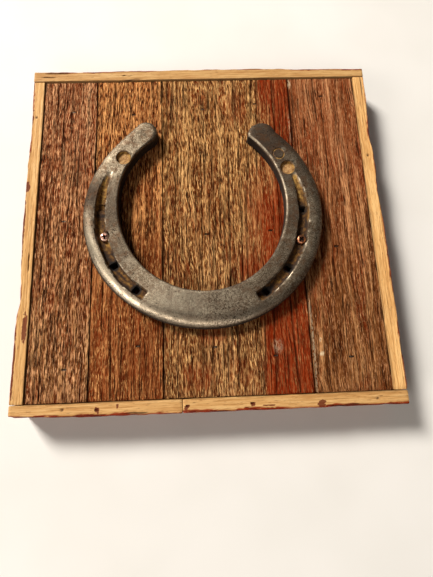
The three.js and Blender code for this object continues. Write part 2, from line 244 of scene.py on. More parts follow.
class Value:
    """A number in a material graph, with the usual arithmetic."""

    def __init__(self, graph, socket):
        self.graph, self.socket = graph, socket

    def __add__(self, other):
        return self.graph.math("ADD", self, other)

    def __sub__(self, other):
        return self.graph.math("SUBTRACT", self, other)

    def __rsub__(self, other):
        return self.graph.math("SUBTRACT", other, self)

    def __mul__(self, other):
        return self.graph.math("MULTIPLY", self, other)

    __rmul__ = __mul__

    def most(self, other):
        return self.graph.math("MAXIMUM", self, other)

    def span(self, low, high, to_low=0.0, to_high=1.0):
        """Eased from the range low..high to the range to_low..to_high."""
        node = self.graph.add("ShaderNodeMapRange", interpolation_type="SMOOTHSTEP")
        for name, number in (("Value", self), ("From Min", low), ("From Max", high),
                             ("To Min", to_low), ("To Max", to_high)):
            self.graph.feed(node.inputs[name], number)
        return Value(self.graph, node.outputs[0])


class Graph:
    """A material and short ways to add nodes to it. Lengths are in millimetres."""

    def __init__(self, name, turn=0.0):
        self.material = bpy.data.materials.new(name)
        self.material.use_nodes = True
        self.tree = self.material.node_tree
        self.tree.nodes.clear()
        place = self.add("ShaderNodeTexCoord").outputs["Object"]
        self.place = self.mapping(place, rotation=(0, 0, math.radians(turn)), scale=(1 / MM,) * 3)

    def add(self, kind, **settings):
        node = self.tree.nodes.new(kind)
        for name, value in settings.items():
            setattr(node, name, value)
        return node

    def feed(self, socket, value):
        """Links a value or a colour to a socket, or sets a plain number on it."""
        value = value.socket if isinstance(value, Value) else value
        if isinstance(value, bpy.types.NodeSocket):
            self.tree.links.new(value, socket)
        else:
            socket.default_value = value

    def mapping(self, vector, location=(0, 0, 0), rotation=(0, 0, 0), scale=(1, 1, 1)):
        node = self.add("ShaderNodeMapping")
        for name, value in (("Vector", vector), ("Location", location),
                            ("Rotation", rotation), ("Scale", scale)):
            self.feed(node.inputs[name], value)
        return node.outputs["Vector"]

    def noise(self, size, detail=2.0, roughness=0.5, seed=0.0):
        """Noise with features of one size, or of size (across, along, down)."""
        sizes = size if isinstance(size, tuple) else (size,) * 3
        node = self.add("ShaderNodeTexNoise")
        vector = self.mapping(self.place, (seed * 7.3, seed * 3.1, seed * 5.7),
                              scale=[1 / s for s in sizes])
        for name, value in (("Vector", vector), ("Scale", 1.0), ("Detail", detail),
                            ("Roughness", roughness)):
            self.feed(node.inputs[name], value)
        return Value(self, node.outputs[0])

    def streaks(self, wide, long, detail=2.0, seed=0.0, roughness=0.5):
        """Noise drawn out along the grain."""
        return self.noise((wide, long, wide), detail, roughness, seed)

    def cells(self, size, seed=0.0):
        """Distance to the nearest of scattered points about size apart."""
        vector = self.mapping(self.place, (seed * 2.3, seed * 4.9, seed), scale=(1 / size,) * 3)
        node = self.add("ShaderNodeTexVoronoi")
        self.feed(node.inputs["Vector"], vector)
        self.feed(node.inputs["Scale"], 1.0)
        return Value(self, node.outputs["Distance"])

    def along_grain(self):
        """The place along the grain, in millimetres."""
        node = self.add("ShaderNodeSeparateXYZ")
        self.feed(node.inputs[0], self.place)
        return Value(self, node.outputs[1])

    def sway(self, size, reach, seed):
        """Bends every pattern added after this from side to side, by up to half of reach."""
        wave = reach * (self.noise(size, 1.0, seed=seed) - 0.5)
        shift = self.add("ShaderNodeCombineXYZ")
        self.feed(shift.inputs[0], wave)
        bent = self.add("ShaderNodeVectorMath", operation="ADD")
        self.feed(bent.inputs[0], self.place)
        self.feed(bent.inputs[1], shift.outputs[0])
        self.place = bent.outputs[0]

    def math(self, operation, a, b):
        node = self.add("ShaderNodeMath", operation=operation)
        self.feed(node.inputs[0], a)
        self.feed(node.inputs[1], b)
        return Value(self, node.outputs[0])

    def mask(self, name):
        """A number stored on the mesh by set_masks."""
        return Value(self, self.add("ShaderNodeAttribute", attribute_name=name).outputs["Fac"])

    def mix(self, factor, under, over):
        """The colour under, covered by the colour over as far as factor says."""
        node = self.add("ShaderNodeMix", data_type="RGBA")
        self.feed(node.inputs[0], factor)
        for socket, colour in ((node.inputs[6], under), (node.inputs[7], over)):
            self.feed(socket, colour if isinstance(colour, bpy.types.NodeSocket) else linear(colour))
        return node.outputs[2]

    def ramp(self, factor, stops):
        """A colour picked by factor from stops of (position, sRGB colour)."""
        node = self.add("ShaderNodeValToRGB")
        self.feed(node.inputs[0], factor)
        elements, stops = node.color_ramp.elements, list(stops)
        while len(elements) < len(stops):
            elements.new(0.5)
        for element, (position, colour) in zip(elements, stops):
            element.position = position
            element.color = linear(colour)
        return node.outputs[0]

    def finish(self, colour, roughness, height, depth, metallic=0.0, specular=0.5):
        """Closes the graph; depth is how far the height pattern reaches, in millimetres."""
        bump = self.add("ShaderNodeBump")
        self.feed(bump.inputs["Strength"], 1.0)
        self.feed(bump.inputs["Distance"], depth * MM)
        self.feed(bump.inputs["Height"], height)
        shader = self.add("ShaderNodeBsdfPrincipled")
        for name, value in (("Base Color", colour), ("Roughness", roughness), ("Metallic", metallic),
                            ("Specular IOR Level", specular), ("Normal", bump.outputs[0])):
            self.feed(shader.inputs[name], value)
        output = self.add("ShaderNodeOutputMaterial")
        self.feed(output.inputs["Surface"], shader.outputs[0])
        return self.material


# ---- Wood materials ----

BARN_RED = [(0.0, (80, 17, 2)), (0.35, (122, 36, 7)), (0.65, (134, 45, 12)), (1.0, (154, 64, 28))]
PINE = [(0.0, (192, 140, 82)), (0.3, (210, 158, 97)), (0.65, (221, 171, 108)), (1.0, (233, 188, 126))]
SPRUCE = [(0.0, (118, 84, 50)), (0.35, (158, 120, 78)), (0.7, (184, 147, 101)), (1.0, (206, 174, 130))]
BOARD_STOPS = (0.0, 0.36, 0.66, 1.0)
CREAM = (226, 206, 170)
CRACK = (38, 14, 6)
# Painted shade on the dark side of splinters.
SPLINTER_SHADE = (60, 20, 6)
END_ABOVE, END_BELOW = 95.0, -35.0      # where the boards' upper and lower palettes hold
PALETTE_DRIFT = 60.0
GRAIN_SWAY = 5.0


def grain(g, seed):
    """The tone of the grain, from 0 dark to 1 light, with four lengths of streak."""
    long = g.streaks(0.7, 45, 3.0, seed, 0.6)
    short = g.streaks(0.5, 7, 2.0, seed + 1, 0.55)
    fine = g.streaks(0.34, 2.4, 1.0, seed + 11)
    broad = g.streaks(2.6, 80, 2.0, seed + 2)
    return (0.34 * long + 0.14 * short + 0.18 * fine + 0.34 * broad).span(0.402, 0.598)


def board_material(name, above, below, seed, turn, red, crisp):
    """Weathered barn board. above and below are its palettes at its two ends.

    crisp says how strongly short splinters stand out at each end.
    """
    g = Graph(name, turn)
    g.sway((14, 34, 14), GRAIN_SWAY, seed + 12)
    tone, painted = grain(g, seed), g.mask("paint")
    drift = PALETTE_DRIFT * g.noise((14, 40, 14), seed=seed + 3)
    down = (g.along_grain() + drift).span(END_ABOVE, END_BELOW)
    colour = g.mix(down, *(g.ramp(tone, zip(BOARD_STOPS, palette)) for palette in (above, below)))
    # Old red paint, first as a patchy stain and then where it still holds.
    flaking = g.streaks(1.1, 9, 4.0, seed + 4, 0.7)
    stain = g.noise((9, 30, 9), seed=seed + 5).span(0.45, 0.66) * flaking.span(0.42, 0.58)
    kept = painted * flaking.span(0.30, 0.42)
    blotch = g.noise((2.5, 9, 2.5), 3.0, seed=seed + 9)
    paint = g.ramp(0.55 * tone + 0.5 * blotch, BARN_RED)
    colour = g.mix(red * stain, colour, paint)
    colour = g.mix(kept, colour, paint)
    # Raised fibres bleached tan, then fine checks.
    bare = 1.0 - 0.85 * painted
    bleached = g.noise((5, 22, 5), 3.0, 0.6, seed + 10).span(0.36, 0.6, 0.35, 1.0)
    fibre = g.streaks(0.4, 3.4, 2.0, seed + 6, 0.6).span(0.56, 0.63) * bleached * bare
    colour = g.mix(fibre, colour, above[3])
    check = g.streaks(0.5, 17, 3.0, seed + 7, 0.6).span(0.42, 0.37) * (0.9 - 0.45 * kept)
    # Longer pale ribbons, and splinters with a painted highlight where they catch the light and painted
    # shade on their dark sides.
    splinter = g.streaks(0.6, 4.2, 2.0, seed + 13)
    amount = down.span(0.0, 1.0, *crisp) * bare
    light = splinter.span(0.545, 0.615) * amount * bleached
    shade = splinter.span(0.455, 0.385) * amount
    ribbon = g.streaks(0.9, 15, 3.0, seed + 14, 0.6).span(0.56, 0.63) * amount
    colour = g.mix(0.4 * ribbon, colour, above[3])
    colour = g.mix(0.8 * light, colour, [min(255, 1.14 * c) for c in above[3]])
    colour = g.mix(0.82 * shade, colour, SPLINTER_SHADE)
    dark = check.most(g.mask("groove"))
    colour = g.mix(dark, colour, CRACK)
    cream = g.mask("cream") * g.noise((0.7, 1.5, 0.7), seed=seed).span(0.38, 0.5)
    colour = g.mix(cream, colour, CREAM)
    height = 0.7 * tone + 0.5 * fibre - dark + 0.5 * (light - shade)
    return g.finish(colour, tone.span(0.0, 1.0, 0.88, 0.66), height, 0.42, specular=0.03)


def pine_material(name, seed, turn, gain):
    """Honey-coloured pine strip with old barn paint on its outer face."""
    g = Graph(name, turn)
    long = g.streaks(0.8, 45, 3.0, seed, 0.55)
    short = g.streaks(0.45, 7, 2.0, seed + 1)
    tone = (0.6 * long + 0.4 * short).span(0.36, 0.62)
    colour = g.ramp(tone, [(at, [min(255, gain * c) for c in rgb]) for at, rgb in PINE])
    patch = g.noise((6, 26, 6), 3.0, 0.6, seed + 2).span(0.52, 0.72)
    colour = g.mix(0.35 * patch, colour, (184, 128, 76))
    fleck = g.streaks(0.35, 4, 1.0, seed + 3).span(0.66, 0.72)
    colour = g.mix(0.6 * fleck, colour, (110, 60, 28))
    flaking = g.streaks(0.9, 6, 4.0, seed + 4, 0.7)
    paint = g.ramp((0.6 * short + 0.4 * long).span(0.36, 0.64), BARN_RED)
    colour = g.mix(g.mask("paint") * flaking.span(0.34, 0.42), colour, paint)
    ragged = g.mask("stain") + 1.4 * (flaking - 0.5)
    colour = g.mix(0.9 * ragged.span(0.42, 0.56), colour, (104, 38, 20))
    # Splits, pinholes and painted shade along the inner edge.
    groove = g.mask("groove")
    colour = g.mix(groove, colour, (58, 26, 12))
    height = 0.6 * tone + 0.4 * g.streaks(0.3, 3, 2.0, seed + 5) - groove
    return g.finish(colour, tone.span(0.0, 1.0, 0.72, 0.56), height, 0.18, specular=0.15)


def batten_material(name, seed):
    """Rough-sawn spruce: pale, with saw marks across the grain."""
    g = Graph(name, 90)
    tone = 0.6 * g.streaks(1.4, 45, 3.0, seed) + 0.4 * g.streaks(0.5, 8, 2.0, seed + 1)
    tone = tone.span(0.36, 0.64)
    saw = g.noise((30, 1.1, 30), 1.0, 0.5, seed + 2)
    colour = g.mix(0.4 * saw.span(0.5, 0.72), g.ramp(tone, SPRUCE), (96, 68, 42))
    grey = g.noise((10, 25, 10), 3.0, seed=seed + 3).span(0.5, 0.75)
    colour = g.mix(0.5 * grey, colour, (110, 88, 66))
    colour = g.mix(g.mask("groove"), colour, (50, 30, 18))
    height = 0.8 * saw + 0.5 * tone
    return g.finish(colour, tone.span(0.0, 1.0, 0.92, 0.78), height, 0.3, specular=0.25)


# ---- Metal materials ----

STEEL = [(0.0, (88, 76, 62)), (0.4, (128, 114, 95)), (0.7, (146, 132, 112)), (1.0, (186, 172, 149))]
DIRT = [(0.15, (20, 9, 3)), (0.4, (62, 36, 9)), (0.62, (112, 76, 28)), (0.9, (180, 138, 66))]
PACKED_DIRT = [(0.36, (112, 74, 36)), (0.5, (170, 126, 76)), (0.64, (212, 172, 118))]


def steel_material():
    """Worn shoe steel: pitted grey, browned and darkened in places, partly as painted shade, and worn
    bright with painted highlights in others.
    """
    g = Graph("worn_steel")
    polish, scale = g.mask("polish"), g.mask("scale")
    cloud = g.noise(9, 4.0, 0.6, 1)
    mottle = g.noise(1.6, 4.0, 0.65, 2)
    fine = g.noise(0.45, 2.0, 0.6, 3)
    grit = g.noise(0.55, 1.0, 0.5, 10)
    colour = g.ramp((0.3 * cloud + 0.35 * mottle + 0.35 * fine).span(0.38, 0.62), STEEL)
    colour = g.mix(0.5 * grit.span(0.46, 0.38), colour, (84, 72, 58))
    colour = g.mix(0.45 * grit.span(0.54, 0.64), colour, (198, 184, 160))
    # Browned places, darkened also as painted shade.
    tarnish = g.mask("tarnish") * mottle.span(0.25, 0.5, 0.55, 1.0)
    colour = g.mix(0.9 * tarnish, colour, (72, 60, 52))
    brown = g.noise(3.5, 4.0, 0.7, 8).span(0.48, 0.6)
    colour = g.mix(0.6 * brown, colour, (98, 72, 52))
    # Polished places are brightened toward cream: partly worn steel, partly a painted highlight.
    colour = g.mix(0.7 * polish, colour, (218, 204, 180))
    # Scale darkens the walls, also as painted shade on the side faces.
    colour = g.mix(0.9 * scale, colour, (34, 27, 23))
    large = g.cells(1.7, 3).span(0.24, 0.11) * g.noise(6, seed=5).span(0.38, 0.52)
    small = g.cells(0.8, 6).span(0.26, 0.12) * cloud.span(0.42, 0.58)
    pit = large.most(0.7 * small)
    colour = g.mix(0.8 * pit, colour, (46, 34, 26))
    speck = g.noise(0.8, 3.0, 0.65, 9).span(0.5, 0.57) * g.mask("rust")
    colour = g.mix(0.75 * speck, colour, (58, 38, 26))
    # Dirt and rust packed into the crease and the holes; the open nail holes are painted near black as
    # shade, and the dirt round the stud holes' rims also stands for painted crevice shade.
    dirt = 0.7 * g.mask("dirt") + 0.3 * mottle.span(0.3, 0.7)
    crease = g.mask("crease") * mottle.span(0.18, 0.32)
    packed, hole = g.mask("packed"), g.mask("hole")
    colour = g.mix(crease, colour, g.ramp(dirt, DIRT))
    colour = g.mix(packed, colour, g.ramp(0.6 * mottle + 0.4 * fine, PACKED_DIRT))
    colour = g.mix(hole, colour, (24, 14, 8))
    metallic = (1.0 - crease.most(hole.most(packed))) * (1.0 - 0.5 * scale)
    rough = mottle.span(0.3, 0.7, 0.60, 0.50) + 0.22 * tarnish - 0.29 * polish + 0.2 * scale
    rough = (rough + 0.3 * pit).most(0.9 * crease)
    height = 0.25 * mottle + 0.75 * fine - 0.5 * pit + 1.5 * (crease * dirt)
    height = (height - 0.5) * (1.0 - 0.85 * polish)
    return g.finish(colour, rough, height, 0.2, metallic)


def copper_material(name, colours, seed):
    """Copper-washed screw, painted dark in its recess as shade, and worn bright on its rim with a painted
    highlight.
    """
    g = Graph(name)
    recess = g.mask("recess")
    tone = g.noise(0.9, 4.0, 0.65, seed).span(0.36, 0.64)
    colour = g.ramp(tone, zip((0.0, 0.4, 0.75, 1.0), colours))
    colour = g.mix(0.6 * g.mask("rubbed"), colour, colours[3])
    # The cross recess is painted near black as shade.
    colour = g.mix(recess, colour, (14, 8, 6))
    rough = tone.span(0.0, 1.0, 0.5, 0.28) + 0.4 * recess
    return g.finish(colour, rough, g.noise(0.25, 3.0, 0.6, seed + 1), 0.03, 1.0 - 0.7 * recess)


def small_metal(name, stops, size, rough, seed):
    """A plain mottled metal for small fasteners; stops are its colours."""
    g = Graph(name)
    tone = 0.6 * g.noise(size, 3.0, 0.6, seed) + 0.4 * g.noise(size / 4, 3.0, 0.6, seed + 1)
    tone = tone.span(0.36, 0.64)
    roughness = tone.span(0.0, 1.0, rough + 0.15, rough - 0.05)
    return g.finish(g.ramp(tone, stops), roughness, g.noise(size / 5, 3.0, 0.6, seed + 2), 0.04, 0.85)


# ---- Wooden pieces ----

END_INSET = 0.3              # how much smaller a plank's end faces are, all round


def stations(low, high, step, extra=()):
    """Even stations from low to high with extra ones let in."""
    even = np.linspace(low, high, max(2, round((high - low) / step) + 1))
    extra = [e for e in extra if low + 0.1 < e < high - 0.1]
    return np.unique(np.round(np.concatenate([even, extra]), 3))


def rounding(x, z, r, inward, up, turns):
    """Points round a corner at x, z; inward and up are the signs toward the piece's middle."""
    return [(x + inward * r * (1 - math.cos(t)), z + up * r * (1 - math.sin(t))) for t in turns]


def plank(name, low, high, along, across_step, along_step, relief, wear, seed, extra=((), ()),
          trim=lambda v: (0.0, 0.0)):
    """A sawn piece swept along axis `along`, its upper face textured by relief(a, v).

    a runs across the piece, v along it. wear is the mean rounding of its long corners, and
    trim says how far each upper edge is worn back.
    """
    across = 1 - along
    a_low, a_high = low[across], high[across]
    z_low, z_high = low[2], high[2]
    v = stations(low[along] + 0.35, high[along] - 0.35, along_step, extra[1])
    v = np.concatenate([[low[along]], v, [high[along]]])
    a_even = stations(a_low + 1.0, a_high - 1.0, across_step, extra[0])
    side = np.linspace(0.12, 0.88, 5)
    turn = np.radians([0, 22, 45, 68, 90])
    rings = []
    for index, at in enumerate(v):
        inset = END_INSET if index in (0, len(v) - 1) else 0.0
        chip = [
            wear * (1 + 0.8 * field(at, k, 3.5, 1, seed + k) + 0.9 * field(at, k, 17, 1, seed + 9))
            for k in range(4)
        ]
        r = np.clip(chip, 0.05, 0.95)
        sway = [0.02 + 0.13 * max(0.0, field(at, 0, 18, 1, seed + k)) for k in (5, 6)]
        left, right = a_low + sway[0] + inset, a_high - sway[1] - inset
        top, bottom = z_high - inset, z_low + inset
        back = trim(at)
        a = left + back[0] + (a_even - a_low) * (right - left - sum(back)) / (a_high - a_low)
        upper = np.clip((side - 0.55) / 0.4, 0, 1) ** 1.5
        rough = [0.12 * (1 + field(z_low + side * 9, at, 2.0, 7, seed + 7 + k)) + back[k] * upper
                 for k in (0, 1)]
        z_side = bottom + side * (top - bottom)
        ring = [(left + q, z) for q, z in zip(rough[0], z_side)]
        ring += rounding(left + back[0], top, r[0], 1, -1, turn)
        height = relief(a, at) * (0 if inset else 1)
        ring += list(zip(a, top + height))
        ring += rounding(right - back[1], top, r[1], -1, -1, turn[::-1])
        ring += [(right - q, z) for q, z in zip(rough[1][::-1], z_side[::-1])]
        ring += rounding(right, bottom, r[2], -1, 1, turn)
        middle = np.linspace(right - 2, left + 2, 7)
        lift = 0.08 * (1 + field(middle, at, 4, 9, seed + 11))
        ring += list(zip(middle, bottom + lift))
        ring += rounding(left, bottom, r[3], 1, 1, turn[::-1])
        ring = np.array(ring)
        points = np.zeros((len(ring), 3))
        points[:, across], points[:, 2], points[:, along] = ring[:, 0], ring[:, 1], at
        rings.append(points)
    return sweep(name, np.array(rings), 50)


def random_cracks(low, high, slant, seed, count):
    """Fine checks along the grain: where each starts and ends, its width and strength."""
    rng = np.random.default_rng(seed)
    cracks = []
    for _ in range(count):
        x, top = rng.uniform(low[0] + 1, high[0] - 1), rng.uniform(-80, 94)
        length = rng.uniform(12, 60)
        cracks.append((x, top, x - slant * length, top - length, rng.uniform(0.35, 0.6),
                       rng.uniform(0.45, 0.95)))
    return cracks


def crack_depth(cracks, x, y):
    """How deep each point lies in the cracks, from 0 to 1."""
    deepest = np.zeros(np.broadcast(x, y).shape)
    for number, (x_top, y_top, x_low, y_low, width, strength) in enumerate(cracks):
        share = (y_top - y) / (y_top - y_low)
        middle = x_top + (x_low - x_top) * share + 0.25 * field(y, number, 7, 1, 500 + number)
        ends = smooth(-0.02, 0.06, share) * smooth(1.02, 0.94, share)
        worn = 0.75 + 0.35 * field(y, number, 12, 1, 530 + number)
        line = np.exp(-((x - middle) / (width / 2)) ** 2) * ends * worn * strength
        deepest = np.maximum(deepest, line)
    return deepest


def grooves(x, y, slant, seed, share):
    """Weathered grooves between the fibres; share sets how many there are."""
    n = field(x - slant * y, y, 1.25, 38, seed) + 0.35 * field(x - slant * y, y, 0.7, 16, seed + 1)
    return smooth(-0.62 + share, -0.98 + share, n)


# Palettes at each board's upper and lower end, the lean of its grain (slant as a slope, turn in
# degrees), and how grooved, red, checked and crisp it is. A crack is its upper x and y, its lower
# x and y, its width and its strength.
BOARDS = {
    "board_1": {
        "above": [(108, 46, 20), (140, 78, 44), (156, 97, 60), (214, 158, 112)],
        "below": [(96, 48, 20), (126, 77, 42), (150, 99, 58), (208, 156, 104)],
        "slant": 0.0, "turn": 0.0, "share": 0.02, "red": 0.55, "checks": 0.5, "crisp": (1.0, 1.0),
        "cracks": [(-78, 95, -77.5, 40, 0.6, 0.6), (-71, 60, -70.6, -20, 0.5, 0.5),
                   (-82, 20, -81.6, -60, 0.6, 0.55), (-90.5, 40, -90, -30, 0.5, 0.5)],
    },
    "board_2": {
        "above": [(122, 58, 20), (162, 97, 50), (184, 118, 66), (226, 162, 100)],
        "below": [(90, 34, 10), (117, 56, 23), (129, 66, 31), (170, 105, 60)],
        "slant": 0.0, "turn": 0.0, "share": 0.0, "red": 0.5, "checks": 0.5, "crisp": (1.1, 0.4),
        "cracks": [(-52.5, 95, -52, 62, 0.6, 0.7), (-43, 93, -42.5, 30, 0.5, 0.5),
                   (-30, 60, -29.6, -10, 0.6, 0.6), (-52, -62, -51.5, -95, 0.7, 0.8),
                   (-46, -60, -45.6, -93, 0.5, 0.6), (-35.4, -58, -35, -92, 0.5, 0.6),
                   (-24.2, 97, -24.3, 83, 1.3, 1.0), (-62.9, -84, -62.9, -99, 1.3, 1.0)],
    },
    "board_3": {
        "above": [(98, 44, 13), (146, 90, 46), (172, 118, 67), (226, 174, 112)],
        "below": [(84, 36, 11), (128, 76, 38), (152, 100, 58), (208, 158, 106)],
        "slant": 0.035, "turn": -2.0, "share": 0.14, "red": 0.6, "checks": 0.6, "crisp": (1.0, 0.9),
        "cracks": [(15.4, 58, 12.1, -76, 0.8, 0.9), (0.0, 92, -3.5, -94, 0.7, 0.75),
                   (43.6, 94, 46.0, -95, 0.7, 0.7), (45.2, -44, 46.2, -95, 1.1, 1.0),
                   (35, 95, 35.4, 64, 0.6, 0.6), (-14.0, 90, -17.0, 0, 0.7, 0.7),
                   (7.4, 94, 5.2, 10, 0.6, 0.6), (22.5, 60, 20, -30, 0.6, 0.6),
                   (-23.7, 97, -23.8, 82, 1.2, 1.0), (-20.4, 95, -21.5, 50, 0.8, 0.9),
                   (27.5, 30, 25.8, -90, 0.6, 0.6)],
    },
    "board_4": {
        "above": [(113, 52, 22), (139, 76, 41), (155, 91, 54), (200, 142, 97)],
        "below": [(84, 38, 11), (114, 66, 31), (136, 86, 47), (188, 136, 88)],
        "slant": 0.0, "turn": 0.0, "share": 0.02, "red": 0.5, "checks": 0.4, "crisp": (0.3, 0.35),
        "cracks": [(66, 90, 66.4, 30, 0.5, 0.5), (80.4, 60, 80, -20, 0.5, 0.5),
                   (87, 10, 87.2, -80, 0.6, 0.6), (62.5, -60, 62.6, -94, 0.5, 0.6)],
    },
}
# The pit over a brad's head: its half-size across and along the board, and its depth.
PIT_HALF = (1.12, 0.39)
PIT_DEPTH = 1.35
# Spots of cream paint, then patches of red: x, y, half-width, half-length, strength.
CREAM_SPOTS = [(59.5, -75, 0.95, 1.0, 1.0), (59.3, -67.5, 0.5, 0.6, 0.9),
               (55.2, -70, 0.6, 25, 0.45), (55.0, 91, 0.9, 3.0, 0.5),
               (36.5, -70, 2.6, 3.5, 0.22), (52.9, 60, 0.4, 9, 0.3)]
RED_PATCHES = [(24, -29, 8, 10, 0.85), (20, 76, 7, 14, 0.55), (2, -62, 7, 7, 0.6), (-6, -84, 8, 8, 0.5)]


def paint_on_board(name, x, y):
    """Where barn paint survives on a board's face."""
    if name != "board_3":
        return np.zeros(len(x))
    edge = 28.5 + 6 * (y + 95) / 190 + 2.2 * field(x, y, 3, 22, 71) + 1.2 * field(x, y, 0.8, 9, 72)
    edge -= 8 * smooth(-62, -40, y) * smooth(42, 22, y)
    solid = 0.97 * smooth(-2.2, 2.2, x - edge)
    solid *= 1 - 0.4 * smooth(-62, -40, y) * smooth(42, 22, y) * smooth(36, 28, x)
    solid *= 1 - 0.45 * smooth(8, 30, y) * smooth(90, 60, y) * smooth(44, 38, x)
    return np.maximum(solid, spots(x, y, RED_PATCHES, 1.15, 0.6, 0.35 * field(x, y, 1.2, 9, 73)))


def make_board(number):
    """One weathered board with its cracks, and a pit over each brad's head."""
    name = f"board_{number}"
    spec, seed = BOARDS[name], 100 * number
    low, high = box_of(name)
    brads = [box_of(n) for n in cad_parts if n.startswith("board_brad_")]
    pits = [(a[:2] + b[:2]) / 2 for a, b in brads]
    pits = [(x, y) for x, y in pits if low[0] < x < high[0]]
    count = round((high[0] - low[0]) * spec["checks"])
    cracks = spec["cracks"] + random_cracks(low, high, spec["slant"], seed + 60, count)
    lines_x, lines_y = (
        [pit[axis] + side * (half + gap) for pit in pits for side in (-1, 1) for gap in (-0.05, 0.05)]
        for axis, half in enumerate(PIT_HALF)
    )

    def relief(x, y):
        g = grooves(x, y, spec["slant"], seed, spec["share"])
        fibre = 0.15 * field(x - spec["slant"] * y, y, 0.9, 13, seed + 20)
        fibre += 0.07 * field(x - spec["slant"] * y, y, 2.4, 40, seed + 21)
        cup = 0.10 * field(x, y, 17, 60, seed + 22)
        height = fibre + cup - 0.1 - 0.42 * g - 0.75 * crack_depth(cracks, x, y)
        for px, py in pits:
            inside = (abs(x - px) < PIT_HALF[0]) & (abs(y - py) < PIT_HALF[1])
            height = np.where(inside, -PIT_DEPTH, height)
        return height

    obj = plank(name + "_wood", low, high, 1, 0.5, 1.5, relief, 0.22, seed, (lines_x, lines_y))
    p = points_of(obj)
    x, y = p[:, 0], p[:, 1]
    on_face = smooth(high[2] - 2.2, high[2] - 1.2, p[:, 2])
    groove = np.maximum(0.62 * grooves(x, y, spec["slant"], seed, spec["share"]),
                        crack_depth(cracks, x, y))
    edge = np.minimum(x - low[0], high[0] - x)
    seam = 0.3 * field(x, y, 5, 7, seed + 30) + 0.25 * field(x, y, 5, 24, seed + 31)
    groove = np.maximum(groove, 0.9 * smooth(0.4, 0.1, edge + seam))
    for px, py in pits:
        near = np.maximum(abs(x - px) / (PIT_HALF[0] + 0.03), abs(y - py) / (PIT_HALF[1] + 0.03))
        groove = np.maximum(groove, 0.7 * smooth(1.2, 0.95, near))
    set_masks(obj, groove=groove * on_face, paint=paint_on_board(name, x, y) * on_face,
              cream=spots(x, y, CREAM_SPOTS, 1.25, 0.75) * on_face)
    material = board_material(name + "_wood", spec["above"], spec["below"], seed / 10,
                              spec["turn"], spec["red"], spec["crisp"])
    return present(obj, name + "_wood", material, name)


# Marks on the strips: strip, x, y, half-width, half-length, strength.
STAINS = [("bottom", -58, -98.6, 1.5, 1.5, 1.0), ("bottom", -57.6, -100.4, 0.7, 1.4, 0.8),
          ("bottom", 56.8, -100.2, 2.1, 2.0, 1.0), ("left", -97.0, -56, 1.4, 9, 0.8),
          ("left", -101, 25, 1.5, 3.5, 1.0), ("bottom", -47.6, -97.2, 0.5, 1.4, 0.8),
          ("bottom", 21.2, -99.0, 1.3, 1.2, 0.9), ("bottom", -12.8, -99.3, 1.2, 1.1, 0.9),
          ("left", -101.3, 71, 1.0, 6, 0.85), ("left", -101.6, -3, 0.8, 26, 0.75),
          ("left", -101.3, -75, 0.8, 20, 0.7), ("right", 101.6, 5, 0.6, 30, 0.6),
          ("bottom", 30, -99.8, 4.0, 0.4, 0.7), ("top", 80, 100.6, 4.0, 0.5, 0.7)]
# How far each strip's outer upper edge is worn back: places along it, then millimetres.
WORN_BACK = {
    "top": ((-102, -86, -70, -40, 10, 50, 62, 102), (0, 0.3, 0.6, 0.1, 0, 0.1, 1.0, 1.3)),
    "bottom": ((-102, -90, -75, -60, 102), (1.8, 0.9, 0.2, 0, 0)),
    "left": ((-102, -62, -50, -43, -32, -8, 40, 58, 70, 102), (0, 0, 0.4, 1.6, 1.3, 0, 0, 0.9, 0.7, 0)),
    "right": ((-102, 0, 15, 34, 42, 54, 68, 80, 102), (0, 0, 0.8, 0, 0.3, 1.4, 0.6, 0, 0)),
}
PINHOLES = [("bottom", -75, -98), ("bottom", 85.5, -98.6), ("right", 98.3, 40), ("left", -98.8, 70)]
STRIP_GAIN = {"top": 0.91, "left": 0.98, "right": 1.05, "bottom": 0.95}   # how pale its pine is
SPLITS = [("top", -88, 100.8, 10, 0.22), ("top", -42.5, 95.4, 7, 0.4), ("right", 100.2, 88, 8, 0.3),
          ("top", -93, 98.0, 5, 0.25), ("left", -97.2, -20, 6, 0.18), ("bottom", -38, -101, 9, 0.25),
          ("top", -45, 98.6, 4, 0.18), ("bottom", 70, -101.2, 14, 0.22)]


def brad_holes(low, high):
    """A cutter for each brad through the strip between two corners, a little wider than the brad."""
    holes = []
    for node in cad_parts:
        if node.startswith(("frame_brad_", "frame_front_brad_")):
            a, b = box_of(node)
            if all(np.maximum(a, low) < np.minimum(b, high)):
                grow = np.full(3, 0.08)
                grow[np.argmax(b - a)] = 2.0
                holes.append(block("hole", a - grow, b + grow))
    return holes


